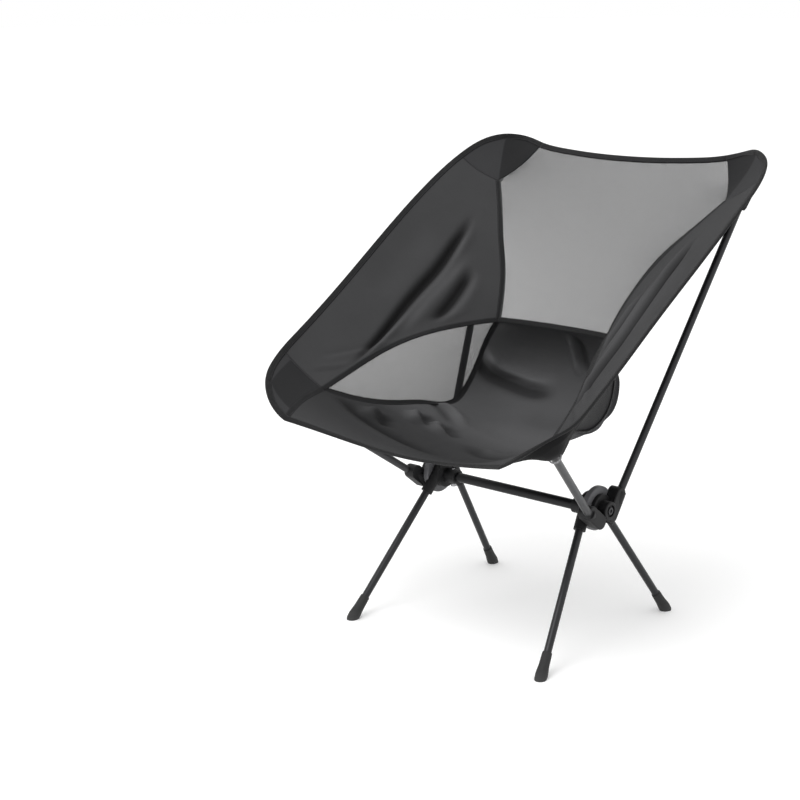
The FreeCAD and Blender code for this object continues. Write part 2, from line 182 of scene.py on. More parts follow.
def wovenCloth(name, tone, pitch=0.0011, rough=0.88, sheen=0.03, wear=0.25):
    made, tree, shader = newMaterial(name)
    coords = addNode(tree, "ShaderNodeTexCoord")
    warp = threadWave(tree, coords.outputs["UV"], 0, pitch)
    weft = threadWave(tree, coords.outputs["UV"], 1, pitch)
    weave = mathOf(tree, "MULTIPLY", warp, weft)
    slubs = noiseOf(tree, coords.outputs["Object"], 900, 2.0)
    blotch = noiseOf(tree, coords.outputs["Object"], 14, 4.0)
    ground = mixColour(tree, blotch, shade(tone, 1 - wear), shade(tone, 1 + wear))
    grain = mathOf(tree, "MULTIPLY_ADD", weave, 0.25, slubs)
    colour = mixColour(tree, rampOf(tree, grain, 0.0, 0.45), ground, shade(tone, 1.7))
    # painted shade and painted highlights: a point attribute darkens the cloth in hollows and other shaded
    # places and pales it on ridges and lit places
    paintedLight = addNode(tree, "ShaderNodeAttribute", attribute_name="paintedLight").outputs["Fac"]
    darker = mathOf(tree, "MULTIPLY", paintedLight, -1.0, clamp=True)
    paler = mathOf(tree, "MULTIPLY", paintedLight, 1.0, clamp=True)
    colour = mixColour(tree, darker, colour, shade(tone, 0.1))
    colour = mixColour(tree, paler, colour, shade(tone, 4.0))
    tree.links.new(colour, shader.inputs["Base Color"])
    tree.links.new(rampOf(tree, slubs, rough - 0.08, rough + 0.1), shader.inputs["Roughness"])
    small = bumpOf(tree, weave, 0.35, 0.0002)
    tree.links.new(bumpOf(tree, blotch, 0.25, 0.002, small), shader.inputs["Normal"])
    shader.inputs["Sheen Weight"].default_value = sheen
    shader.inputs["Sheen Roughness"].default_value = 0.5
    shader.inputs["Specular IOR Level"].default_value = 0.08
    return made


def openMesh(name, tone, pitch=0.0015, openness=0.1, sheen=0.15):
    # knitted net: six-sided holes between the threads, as the distance between rows of holes sets them
    made, tree, shader = newMaterial(name)
    coords = addNode(tree, "ShaderNodeTexCoord")
    split = addNode(tree, "ShaderNodeSeparateXYZ")
    tree.links.new(coords.outputs["UV"], split.inputs[0])
    turn = 2 * math.pi / pitch
    rows = mathOf(tree, "COSINE", mathOf(tree, "MULTIPLY", split.outputs[0], turn))
    half = mathOf(tree, "COSINE", mathOf(tree, "MULTIPLY", split.outputs[0], turn / 2))
    slant = mathOf(tree, "COSINE", mathOf(tree, "MULTIPLY", split.outputs[1], turn * math.sqrt(3) / 2))
    net = mathOf(tree, "MULTIPLY_ADD", mathOf(tree, "MULTIPLY", half, slant), 2.0, rows)
    thread = mathOf(tree, "LESS_THAN", net, openness)
    blotch = noiseOf(tree, coords.outputs["Object"], 30, 3.0)
    colour = mixColour(tree, blotch, shade(tone, 0.8), shade(tone, 1.25))
    tree.links.new(colour, shader.inputs["Base Color"])
    tree.links.new(thread, shader.inputs["Alpha"])
    tree.links.new(rampOf(tree, blotch, 0.55, 0.75), shader.inputs["Roughness"])
    tree.links.new(bumpOf(tree, net, 0.4, 0.0003), shader.inputs["Normal"])
    shader.inputs["Sheen Weight"].default_value = sheen
    return made


stitches = {"step": 0.0032, "place": 0.34, "halfWidth": 0.014, "length": 0.62}


def stitchRow(tree, vector):
    # a row of stitches on each face of a band, whose map runs in metres along it and in shares round it
    split = addNode(tree, "ShaderNodeSeparateXYZ")
    tree.links.new(vector, split.inputs[0])
    fromOuter = mathOf(tree, "ABSOLUTE", mathOf(tree, "SUBTRACT", split.outputs[1], 0.5))
    offRow = mathOf(tree, "ABSOLUTE", mathOf(tree, "SUBTRACT", fromOuter, stitches["place"]))
    row = mathOf(tree, "LESS_THAN", offRow, stitches["halfWidth"])
    count = mathOf(tree, "DIVIDE", split.outputs[0], stitches["step"])
    dash = mathOf(tree, "LESS_THAN", mathOf(tree, "FRACT", count), stitches["length"])
    return mathOf(tree, "MULTIPLY", row, dash)


def tapeWeave(name, tone, rib=0.0012, rough=0.7):
    made, tree, shader = newMaterial(name)
    coords = addNode(tree, "ShaderNodeTexCoord")
    ribs = threadWave(tree, coords.outputs["UV"], 1, rib)
    blotch = noiseOf(tree, coords.outputs["Object"], 60, 3.0)
    colour = mixColour(tree, rampOf(tree, ribs, 0.2, 0.8), shade(tone, 0.7), shade(tone, 1.3))
    colour = mixColour(tree, rampOf(tree, blotch, 0.0, 0.35), colour, shade(tone, 2.2))
    stitch = stitchRow(tree, coords.outputs["UV"])
    colour = mixColour(tree, stitch, colour, shade(tone, 5.0))
    tree.links.new(colour, shader.inputs["Base Color"])
    tree.links.new(rampOf(tree, blotch, rough - 0.1, rough + 0.15), shader.inputs["Roughness"])
    ribbed = bumpOf(tree, ribs, 0.5, 0.0003)
    tree.links.new(bumpOf(tree, stitch, 0.6, 0.0004, ribbed), shader.inputs["Normal"])
    shader.inputs["Sheen Weight"].default_value = 0.04
    shader.inputs["Specular IOR Level"].default_value = 0.2
    return made


def anodised(name, tone, rough=0.34, scratch=0.4):
    made, tree, shader = newMaterial(name)
    coords = addNode(tree, "ShaderNodeTexCoord")
    wear = noiseOf(tree, coords.outputs["Object"], 45, 6.0, 0.7)
    fine = noiseOf(tree, coords.outputs["Object"], 700, 2.0)
    worn = rampOf(tree, mathOf(tree, "POWER", wear, 4.0), 0.0, scratch)
    colour = mixColour(tree, worn, tone + (1,), tuple(min(c * 3.0 + 0.02, 1) for c in tone) + (1,))
    tree.links.new(colour, shader.inputs["Base Color"])
    tree.links.new(rampOf(tree, fine, rough - 0.06, rough + 0.1), shader.inputs["Roughness"])
    tree.links.new(bumpOf(tree, fine, 0.06, 0.0002), shader.inputs["Normal"])
    shader.inputs["Metallic"].default_value = 0.55
    shader.inputs["Specular IOR Level"].default_value = 0.6
    return made


def mouldedNylon(name, tone, rough=0.5, grain=900):
    made, tree, shader = newMaterial(name)
    coords = addNode(tree, "ShaderNodeTexCoord")
    spark = noiseOf(tree, coords.outputs["Object"], grain, 3.0, 0.7)
    cloudy = noiseOf(tree, coords.outputs["Object"], 35, 4.0)
    colour = mixColour(tree, cloudy, shade(tone, 0.8), shade(tone, 1.3))
    tree.links.new(colour, shader.inputs["Base Color"])
    tree.links.new(rampOf(tree, cloudy, rough - 0.1, rough + 0.12), shader.inputs["Roughness"])
    tree.links.new(bumpOf(tree, spark, 0.25, 0.0003), shader.inputs["Normal"])
    shader.inputs["Specular IOR Level"].default_value = 0.35
    return made


def softRubber(name, tone):
    made, tree, shader = newMaterial(name)
    coords = addNode(tree, "ShaderNodeTexCoord")
    dust = noiseOf(tree, coords.outputs["Object"], 80, 5.0, 0.7)
    grit = noiseOf(tree, coords.outputs["Object"], 1400, 2.0)
    low = addNode(tree, "ShaderNodeSeparateXYZ")
    tree.links.new(coords.outputs["Object"], low.inputs[0])
    nearFloor = mathOf(tree, "MULTIPLY_ADD", low.outputs[2], -70.0, 1.0, clamp=True)
    scuffed = mathOf(tree, "MULTIPLY", nearFloor, dust, clamp=True)
    colour = mixColour(tree, scuffed, tone + (1,), shade(tone, 3.5))
    tree.links.new(colour, shader.inputs["Base Color"])
    tree.links.new(rampOf(tree, dust, 0.6, 0.85), shader.inputs["Roughness"])
    tree.links.new(bumpOf(tree, grit, 0.2, 0.0003), shader.inputs["Normal"])
    return made


# lines of the sling
# Points on the sitter's left, in metres from the crossbar's middle line; the right side is the mirror image.
slingLines = {
    "topHem": [(0, .265, .638), (.060, .267, .639), (.115, .271, .642), (.165, .277, .648)],
    "rearInner": [(.165, .277, .648), (.193, .279, .655), (.222, .261, .660)],
    "rearOuter": [(.222, .261, .660), (.250, .237, .652), (.267, .200, .631)],
    "sideHem": [(.267, .200, .631), (.273, .135, .594), (.272, .040, .535), (.268, -.060, .470),
                (.267, -.155, .410), (.266, -.190, .389)],
    "frontOuter": [(.266, -.190, .389), (.261, -.217, .371), (.245, -.241, .357)],
    "frontInner": [(.245, -.241, .357), (.221, -.259, .338), (.185, -.265, .316)],
    "frontHem": [(.185, -.265, .316), (.140, -.252, .301), (.072, -.241, .293), (0, -.237, .291)],
    "backSeam": [(.203, .214, .594), (.172, .180, .556), (.142, .145, .516), (.119, .121, .476),
                 (.104, .098, .437), (.097, .083, .410)],
    "pocketOnMesh": [(.165, .277, .648), (.187, .246, .613), (.203, .214, .594)],
    "pocketOnWing": [(.203, .214, .594), (.235, .204, .609), (.267, .200, .631)],
    "pocketOnFront": [(.202, -.176, .339), (.238, -.181, .362), (.266, -.190, .389)],
    "pocketOnSeat": [(.185, -.265, .316), (.198, -.222, .331), (.202, -.176, .339)],
    "wingEdge": [(.097, .083, .410), (.125, .030, .407), (.153, -.027, .398), (.178, -.085, .379),
                 (.192, -.132, .358), (.202, -.176, .339)],
    "seatSide": [(.097, .083, .410), (.114, .077, .378), (.123, .065, .342), (.126, .045, .313),
                 (.125, .018, .297)],
    "meshFoot": [(.125, .018, .297), (.131, -.040, .304), (.146, -.095, .312), (.173, -.143, .324),
                 (.202, -.176, .339)],
    "waist": [(.097, .083, .410), (.050, .089, .410), (0, .091, .410)],
    "seatMiddle": [(0, .091, .410), (0, .120, .380), (0, .132, .345), (0, .118, .306), (0, .084, .275),
                   (0, .020, .254), (0, -.060, .254), (0, -.130, .263), (0, -.190, .277), (0, -.237, .291)],
}
seatSquareness = [2.0, 4.0, 5.0, 4.5, 3.5, 2.6, 2.4, 2.4, 2.6, 3.0]


spanParts = 24


def smoothThrough(points, parts=spanParts):
    # a smooth curve through points, with equal numbers of places between neighbours
    points = np.array(points, float)
    count = len(points)
    gaps = np.linalg.norm(np.diff(points, axis=0), axis=1)
    matrix, wanted = np.eye(count), np.zeros((count, 3))
    for k in range(1, count - 1):
        before, after = gaps[k - 1], gaps[k]
        matrix[k, k - 1:k + 2] = before, 2 * (before + after), after
        wanted[k] = 6 * ((points[k + 1] - points[k]) / after - (points[k] - points[k - 1]) / before)
    bends = np.linalg.solve(matrix, wanted)
    fine = []
    for k in range(count - 1):
        for t in np.arange(parts) / parts:
            s, h = 1 - t, gaps[k] ** 2 / 6
            fine.append(s * points[k] + t * points[k + 1] + (s ** 3 - s) * h * bends[k]
                        + (t ** 3 - t) * h * bends[k + 1])
    return np.vstack([fine, points[-1:]])


class Line:
    # a line through close points, read by the share of its length
    def __init__(self, fine):
        self.fine = np.array(fine)
        steps = np.linalg.norm(np.diff(self.fine, axis=0), axis=1)
        self.reach = np.concatenate([[0], np.cumsum(steps)])
        self.length = self.reach[-1]

    def at(self, shares):
        wanted = np.clip(shares, 0, 1) * self.length
        return np.stack([np.interp(wanted, self.reach, self.fine[:, k]) for k in range(3)], axis=-1)

    def back(self):
        return Line(self.fine[::-1])


def mirror(points):
    turned = np.array(points, float)
    turned[..., 0] *= -1
    return turned


def runThrough(*names, evenEnds=False):
    # one smooth run through several named lines in turn, then cut where the names meet
    joined, cuts = [], [0]
    for name in names:
        joined += slingLines[name] if not joined else slingLines[name][1:]
        cuts.append(len(joined) - 1)
    joined = np.array(joined, float)
    joined[:, 1] += barY
    extra = 0
    if evenEnds:
        extra = 2
        joined = np.vstack([mirror(joined[1:extra + 1])[::-1], joined, mirror(joined[-extra - 1:-1])[::-1]])
    fine = smoothThrough(joined)
    return {name: Line(fine[spanParts * (start + extra):spanParts * (stop + extra) + 1])
            for name, start, stop in zip(names, cuts, cuts[1:])}


def joinLines(*lines):
    fine = lines[0].fine
    for line in lines[1:]:
        fine = np.vstack([fine, line.fine[1:]])
    return Line(fine)


def acrossLine(line):
    # from the sitter's right to left, of a line that starts or ends in the middle
    half = line.fine if abs(line.fine[0, 0]) < 1e-6 else line.fine[::-1]
    return Line(np.vstack([mirror(half)[::-1][:-1], half]))


edges = {}
edges.update(runThrough("topHem", "rearInner", "rearOuter", "sideHem", "frontOuter", "frontInner", "frontHem",
                        evenEnds=True))
edges.update(runThrough("seatSide", "meshFoot"))
for lineName in ("pocketOnMesh", "backSeam", "pocketOnWing", "pocketOnFront", "pocketOnSeat", "wingEdge",
                 "waist", "seatMiddle"):
    edges.update(runThrough(lineName))


# grids of cloth
def coons(left, right, near, far, columns, rows):
    # a patch of that many columns and rows between four lines
    u = np.linspace(0, 1, columns)
    v = np.linspace(0, 1, rows)
    uu, vv = u[None, :, None], v[:, None, None]
    leftSide, rightSide = left.at(v)[:, None, :], right.at(v)[:, None, :]
    nearSide, farSide = near.at(u)[None, :, :], far.at(u)[None, :, :]
    corners = ((1 - uu) * (1 - vv) * leftSide[0, 0] + uu * (1 - vv) * rightSide[0, 0]
               + (1 - uu) * vv * leftSide[-1, 0] + uu * vv * rightSide[-1, 0])
    return (1 - uu) * leftSide + uu * rightSide + (1 - vv) * nearSide + vv * farSide - corners


def relaxed(grid, rounds):
    # lets the cloth pull flat between its edges, as a stretched skin does
    grid = grid.copy()
    for _ in range(rounds):
        grid[1:-1, 1:-1] = (grid[:-2, 1:-1] + grid[2:, 1:-1] + grid[1:-1, :-2] + grid[1:-1, 2:]) / 4
    return grid


def normalsOf(grid):
    along, across = np.gradient(grid, axis=0), np.gradient(grid, axis=1)
    normal = np.cross(along, across)
    return normal / np.maximum(np.linalg.norm(normal, axis=2, keepdims=True), 1e-12)


def sizeOf(grid):
    # mean width and height along the surface
    width = np.linalg.norm(np.diff(grid, axis=1), axis=2).sum(axis=1).mean()
    height = np.linalg.norm(np.diff(grid, axis=0), axis=2).sum(axis=0).mean()
    return width, height


def areaOf(grid):
    a, b, c, d = grid[:-1, :-1], grid[:-1, 1:], grid[1:, 1:], grid[1:, :-1]
    return (np.linalg.norm(np.cross(b - a, c - a), axis=2).sum()
            + np.linalg.norm(np.cross(c - a, d - a), axis=2).sum()) / 2


def clothPlaces(grid, isFlat):
    # where each place lies on the cloth, in metres, so that the weave keeps its size
    if isFlat:
        # every seventh place is enough to find the plane
        middle = grid.reshape(-1, 3).mean(axis=0)
        spread = np.linalg.svd((grid.reshape(-1, 3) - middle)[::7], full_matrices=False)[2]
        return (grid - middle) @ spread[:2].T
    columns = grid.shape[1]
    across = np.linalg.norm(np.diff(grid, axis=1), axis=2)
    across = np.concatenate([np.zeros((len(grid), 1)), np.cumsum(across, axis=1)], axis=1)
    across -= across[:, columns // 2:columns // 2 + 1]
    down = np.linalg.norm(np.diff(grid[:, columns // 2], axis=0), axis=1)
    down = np.concatenate([[0], np.cumsum(down)])
    return np.stack([across, np.repeat(down[:, None], columns, axis=1)], axis=2)


def gridPiece(name, grid, thickness, finish, isFlat, paintedLight):
    rows, columns = grid.shape[:2]
    bpy.ops.object.select_all(action="DESELECT")
    bpy.ops.mesh.primitive_grid_add(x_subdivisions=columns - 1, y_subdivisions=rows - 1, size=2,
                                    location=(0, 0, 0))
    piece = bpy.context.object
    piece.name = name
    mesh = piece.data
    square = np.empty(len(mesh.vertices) * 3)
    mesh.vertices.foreach_get("co", square)
    square = square.reshape(-1, 3)
    i = np.rint((square[:, 0] + 1) / 2 * (columns - 1)).astype(int)
    j = np.rint((square[:, 1] + 1) / 2 * (rows - 1)).astype(int)
    mesh.vertices.foreach_set("co", grid[j, i].ravel())
    corner = np.empty(len(mesh.loops), dtype=int)
    mesh.loops.foreach_get("vertex_index", corner)
    mesh.uv_layers.active.data.foreach_set("uv", clothPlaces(grid, isFlat)[j[corner], i[corner]].ravel())
    mesh.update()
    for face in mesh.polygons:
        face.use_smooth = True
    # the panel's painted shade and painted highlights, kept as a point attribute that the cloth's colour
    # reads
    if paintedLight is not None:
        tone = mesh.attributes.new("paintedLight", "FLOAT", "POINT")
        tone.data.foreach_set("value", paintedLight[j, i].ravel().astype(np.float32))
    outside, inside = finish
    mesh.materials.append(outside)
    mesh.materials.append(inside)
    wall = piece.modifiers.new("wall", "SOLIDIFY")
    wall.thickness = thickness
    wall.offset = 0
    wall.material_offset = 1
    bpy.ops.object.modifier_apply(modifier="wall")
    return piece


def nearestOnPath(u, v, path):
    # the signed distance from each place to a bent line, and how far along it the nearest place is
    steps = np.hypot(*np.diff(path, axis=0).T)
    reach = np.concatenate([[0], np.cumsum(steps)]) / steps.sum()
    best, sign, share = np.full(u.shape, np.inf), np.ones(u.shape), np.zeros(u.shape)
    for k, step in enumerate(steps):
        (startU, startV), (endU, endV) = path[k], path[k + 1]
        du, dv = (endU - startU) / step, (endV - startV) / step
        along = np.clip((u - startU) * du + (v - startV) * dv, 0, step)
        offU, offV = u - startU - along * du, v - startV - along * dv
        away = np.hypot(offU, offV)
        closer = away < best
        best = np.where(closer, away, best)
        sign = np.where(closer, np.sign(offU * dv - offV * du + 1e-12), sign)
        share = np.where(closer, reach[k] + (reach[k + 1] - reach[k]) * along / step, share)
    return best * sign, share


foldShape = {"taper": 0.3, "lean": 1.5, "dip": 0.55, "dipWidth": 1.1, "flatEdge": 0.012}


def pushed(grid, folds):
    # creases and ridges: each runs through places given by shares across and along the panel
    rows, columns = grid.shape[:2]
    width, height = sizeOf(grid)
    u, v = np.meshgrid(np.linspace(0, width, columns), np.linspace(0, height, rows))
    lift = np.zeros((rows, columns))
    for fold in folds:
        path = smoothThrough([(a * width, b * height, 0) for a, b in fold["path"]], 8)[:, :2]
        away, share = nearestOnPath(u, v, path)
        ends = np.clip(np.minimum(share, 1 - share) / fold.get("taper", foldShape["taper"]), 0, 1)
        ends = ends * ends * (3 - 2 * ends)
        across = away / fold["wide"]
        beside = (across - fold.get("lean", foldShape["lean"])) / foldShape["dipWidth"]
        lift += fold["deep"] * ends * (np.exp(-across ** 2) - foldShape["dip"] * np.exp(-beside ** 2))
    edge = np.minimum(np.minimum(u, width - u), np.minimum(v, height - v)) / foldShape["flatEdge"]
    lift *= np.clip(edge, 0, 1)
    return grid + normalsOf(grid) * lift[..., None], lift


def unit(vectors):
    return vectors / np.maximum(np.linalg.norm(vectors, axis=-1, keepdims=True), 1e-12)


bandShape = {"sides": 14, "square": 0.62}


def tapePiece(name, points, inward, width, thickness, inset, material):
    # a flat oval band along a line; inward points across the band, into the cloth
    points = np.array(points)
    inward = np.array(inward)
    along = unit(np.gradient(points, axis=0))
    across = unit(inward - along * (inward * along).sum(axis=1, keepdims=True))
    away = np.cross(along, across)
    middle = points + across * inset
    sides, square = bandShape["sides"], bandShape["square"]
    turns = np.linspace(0, 2 * np.pi, sides, endpoint=False)
    ovalX = np.sign(np.cos(turns)) * np.abs(np.cos(turns)) ** square * width / 2
    ovalY = np.sign(np.sin(turns)) * np.abs(np.sin(turns)) ** square * thickness / 2
    rings = middle[:, None] + across[:, None] * ovalX[None, :, None] + away[:, None] * ovalY[None, :, None]
    made = bmesh.new()
    uvLayer = made.loops.layers.uv.new("UVMap")
    corners = [[made.verts.new(p) for p in ring] for ring in rings]
    reach = np.concatenate([[0], np.cumsum(np.linalg.norm(np.diff(middle, axis=0), axis=1))])
    for j in range(len(corners) - 1):
        for i in range(sides):
            k = (i + 1) % sides
            face = made.faces.new((corners[j][i], corners[j][k], corners[j + 1][k], corners[j + 1][i]))
            face.smooth = True
            places = ((reach[j], i / sides), (reach[j], (i + 1) / sides), (reach[j + 1], (i + 1) / sides),
                      (reach[j + 1], i / sides))
            for loop, place in zip(face.loops, places):
                loop[uvLayer].uv = place
    made.faces.new(corners[0][::-1])
    made.faces.new(corners[-1])
    bmesh.ops.recalc_face_normals(made, faces=made.faces)
    mesh = bpy.data.meshes.new(name)
    made.to_mesh(mesh)
    made.free()
    piece = bpy.data.objects.new(name, mesh)
    bpy.context.scene.collection.objects.link(piece)
    mesh.materials.append(material)
    return piece


def stretched(grid):
    # the mean width and length along the surface of a sewn panel, which the pole tips pull tight,
    # widened where a rectangle of that size would be smaller than the panel; nothing is returned or kept
    width, length = sizeOf(grid)
    area = areaOf(grid)
    share = area / (width * length)
    if share > 1:
        width = width * share


finishes = {}


def makeFinishes():
    clothFace = wovenCloth("slingCloth", (0.034, 0.034, 0.035), pitch=0.0011, wear=0.16)
    # the cloth's reverse face is a darker copy of its face: painted shade on the sling's outer side, which
    # faces down and away from the light
    clothReverse = wovenCloth("slingClothShadedReverse", (0.016, 0.016, 0.017), pitch=0.0011, rough=0.7, sheen=0.02,
                              wear=0.1)
    pocketFace = wovenCloth("pocketCloth", (0.023, 0.023, 0.024), pitch=0.0009, wear=0.2)
    backNet = openMesh("slingMesh", (0.016, 0.016, 0.018), openness=0.24)
    # the side mesh is a darker copy of the back's net: painted shade where it is seen over the shaded inside
    # of the seat
    sideNet = openMesh("sideMesh", (0.007, 0.007, 0.008), openness=0.82, sheen=0.03)
    finishes["cloth"] = (clothReverse, clothFace)
    finishes["pocket"] = (clothReverse, pocketFace)
    finishes["cup"] = (wovenCloth("cupCloth", (0.022, 0.022, 0.023), pitch=0.0013, wear=0.1), pocketFace)
    finishes["mesh"] = (backNet, backNet)
    finishes["sideMesh"] = (sideNet, sideNet)
    finishes["binding"] = tapeWeave("edgeBinding", (0.007, 0.007, 0.0075))
    finishes["seam"] = tapeWeave("seamTape", (0.007, 0.007, 0.0075))
    finishes["pocketSeam"] = tapeWeave("pocketTape", (0.016, 0.016, 0.017))
    finishes["blackTube"] = anodised("blackTube", (0.018, 0.018, 0.02), rough=0.36)
    finishes["barTube"] = anodised("barTube", (0.006, 0.006, 0.007), rough=0.46, scratch=0.15)
    # the front poles get a lighter copy of the black tube: painted light on the poles that face the light,
    # while the rear poles keep the black tube
    finishes["litGreyTube"] = anodised("litGreyTube", (0.037, 0.037, 0.039), rough=0.4)
    finishes["ferrule"] = anodised("ferruleMetal", (0.12, 0.12, 0.125), rough=0.3)
    finishes["steel"] = anodised("pinSteel", (0.3, 0.3, 0.31), rough=0.28)
    finishes["screw"] = anodised("screwSteel", (0.025, 0.025, 0.027), rough=0.38)
    finishes["hub"] = mouldedNylon("hubPlastic", (0.003, 0.003, 0.0035), rough=0.58)
    # the hub ring is a grey copy of the black hub plastic: a painted highlight on the ring's rim
    finishes["ring"] = mouldedNylon("ringPlasticHighlight", (0.09, 0.09, 0.095), rough=0.5)
    finishes["foot"] = softRubber("footRubber", (0.012, 0.012, 0.012))
    finishes["cord"] = tapeWeave("shockCord", (0.02, 0.02, 0.022), rib=0.0016)
    finishes["webbing"] = tapeWeave("webbing", (0.16, 0.16, 0.165), rib=0.0018)


# Folds in the cloth, by shares across (from the inner seam out) and along (from the back down to the front)
wingFolds = [
    {"path": [(.35, .18), (.44, .34), (.46, .475), (.44, .59), (.375, .675), (.25, .775), (.146, .85),
              (.05, .92)], "wide": .0062, "deep": -.013, "taper": .25, "lean": -1.6},
    {"path": [(.27, .32), (.31, .475), (.29, .59), (.19, .69), (.1, .76)], "wide": .008, "deep": .0056},
    {"path": [(.23, .38), (.23, .45), (.21, .525), (.165, .6), (.13, .66)], "wide": .0056, "deep": -.0105,
     "lean": -1.6},
    {"path": [(.6, .3), (.62, .5), (.55, .7)], "wide": .02, "deep": .0016},
    {"path": [(.05, .75), (.22, .86), (.5, .95)], "wide": .006, "deep": .0014},
    {"path": [(.05, .9), (.2, .94), (.42, .985)], "wide": .005, "deep": -.0012},
]
seatFolds = [
    {"path": [(.05, .105), (.1, .14), (.165, .18), (.25, .208), (.35, .226), (.47, .215)], "wide": .009,
     "deep": .012, "taper": .25, "lean": -1.7},
    {"path": [(.55, .02), (.54, .1), (.538, .156), (.57, .2)], "wide": .007, "deep": .008, "lean": 1.6},
    {"path": [(.03, .39), (.188, .448), (.275, .5), (.33, .53)], "wide": .007, "deep": .006, "lean": -1.6},
    {"path": [(.17, .68), (.205, .735), (.26, .79)], "wide": .008, "deep": .0105},
    {"path": [(.165, .55), (.205, .595), (.27, .64)], "wide": .008, "deep": .0115},
    {"path": [(.25, .55), (.29, .6), (.35, .63)], "wide": .008, "deep": .009},
    {"path": [(.8, .3), (.84, .36), (.88, .45)], "wide": .01, "deep": .006},
    {"path": [(.62, .25), (.7, .24), (.82, .2)], "wide": .01, "deep": .003},
    {"path": [(.1, .74), (.2, .79), (.35, .8), (.5, .79)], "wide": .012, "deep": -.004, "lean": -1.6},
    {"path": [(.42, .6), (.5, .66), (.62, .66)], "wide": .011, "deep": -.0045},
    {"path": [(.62, .12), (.65, .18), (.66, .25)], "wide": .008, "deep": -.005},
    {"path": [(.86, .1), (.87, .2), (.9, .3)], "wide": .009, "deep": -.004},
    {"path": [(.3, .4), (.5, .44), (.7, .4)], "wide": .022, "deep": .0024},
]

# The panels of the sling
sling = {"cloth": 0.0009, "mesh": 0.00035, "backBow": 0.006, "wingSplit": 0.47, "netEnd": 0.985,
         "creaseDepth": 0.007, "hollow": 0.75, "ridge": 0.22}
gridSize = {"back": (73, 65), "wing": (97, 81), "sideMesh": (29, 45), "seat": (161, 193), "pocket": (33, 33)}
rounds = {"back": 400, "wing": 1200, "sideMesh": 200, "pocket": 60}
panelKinds = {"cloth": ("sling_cloth", "cloth"), "mesh": ("sling_mesh", "mesh"),
              "sideMesh": ("sling_mesh", "mesh"), "pocket": ("pocket_cloth", "cloth"),
              "cup": ("pocket_cloth", "cloth")}
seatShade = ((0, 0.08, 0.3, 0.52, 0.68, 0.8, 0.93, 1), (0.05, 0.24, 0.45, 0.4, -0.12, -0.38, -0.08, 0.1))
pocketShade = {"rear": (-0.38, 0.08), "front": (-0.3, 0.1), "rim": 0.78}
bands = {"hem": {"width": 0.0095, "thick": 0.0042, "inset": 0.32, "finish": "binding"},
         "seam": {"width": 0.0085, "thick": 0.0021, "inset": 0, "finish": "seam"},
         "pocket": {"width": 0.0035, "thick": 0.0017, "inset": 0, "finish": "pocketSeam"}}
poleFoot = {"front": (.165, -.055, .205), "rear": (.157, .033, .205)}
tipTravel = 0.014
cup = {"rear": (0.0105, 0.015, 4), "front": (0.0085, 0.022, 2.6), "least": 0.0015, "behind": 0.0006,
       "sewn": 0.16, "shadeSwing": 1.1, "shadeDark": 0.8, "shadeWidth": 0.008}
mouthRows = {"rear": (-1, -4), "front": (0, 3)}
loop = {"width": 0.006, "thick": 0.0015, "clear": 0.0082, "below": 0.002, "places": 41}


def sideOf(grid, side):
    return grid if side > 0 else mirror(grid)[:, ::-1]


def sideEdge(points, side):
    return points if side > 0 else mirror(points)


def creaseTone(lift):
    # painted shading: hollows darker and ridges paler than the cloth around them
    return np.clip(lift / sling["creaseDepth"], -1, 1) * np.where(lift < 0, sling["hollow"], sling["ridge"])


def seatTone(grid):
    # painted shading from the seat's back edge to its front hem: above 0 is paler, below 0 darker
    shares = np.interp(np.linspace(0, 1, len(grid)), *seatShade)
    return np.repeat(shares[:, None], grid.shape[1], axis=1)


def pocketTone(grid, end):
    # two tones: a rear pocket is darker on the half beside the mesh, split from corner to corner; a front one
    # has a painted highlight on its rim and painted shade in its middle
    rows, columns = grid.shape[:2]
    u, v = np.meshgrid(np.linspace(0, 1, columns), np.linspace(0, 1, rows))
    isDark = u + v < 1 if end == "rear" else np.maximum(u, v) <= pocketShade["rim"]
    return np.where(isDark, *pocketShade[end])


def backGrid():
    side = joinLines(edges["pocketOnMesh"], edges["backSeam"])
    other = Line(mirror(side.fine))
    grid = coons(other, side, acrossLine(edges["topHem"]), acrossLine(edges["waist"]), *gridSize["back"])
    grid = relaxed(grid, rounds["back"])
    rows, columns = grid.shape[:2]
    down, across = (np.sin(np.pi * np.linspace(0, 1, count)) for count in (rows, columns))
    lift = normalsOf(grid) * (sling["backBow"] * (down[:, None] * across[None, :]))[..., None]
    outward = 1 if normalsOf(grid)[rows // 2, columns // 2][1] > 0 else -1
    return grid + outward * lift


def wingGrid():
    # two patches that meet along a line from the end of the back's seam to the side hem
    hem, seam, lower, split = edges["sideHem"], edges["backSeam"], edges["wingEdge"], sling["wingSplit"]
    start, end = seam.at(np.array([1.0]))[0], hem.at(np.array([split]))[0]
    fold = Line([start, start * 0.5 + end * 0.5, end])
    shares = np.linspace(0, 1, 30)
    upper = coons(seam, Line(hem.at(shares * split)), edges["pocketOnWing"], fold, *gridSize["wing"])
    hemBelow = Line(hem.at(split + shares * (1 - split)))
    below = coons(lower, hemBelow, fold, edges["pocketOnFront"], *gridSize["wing"])
    return relaxed(np.vstack([upper, below[1:]]), rounds["wing"])


def sideMeshGrid():
    # stops just short of the point where its two long edges meet
    wing, foot = edges["wingEdge"], edges["meshFoot"]
    shares = np.linspace(0, sling["netEnd"], 40)
    wing, foot = Line(wing.at(shares)), Line(foot.at(shares))
    tip, toe = wing.at(np.array([1.0]))[0], foot.at(np.array([1.0]))[0]
    shortEdge = Line([tip, tip * 0.5 + toe * 0.5, toe])
    return relaxed(coons(wing, foot, edges["seatSide"], shortEdge, *gridSize["sideMesh"]), rounds["sideMesh"])


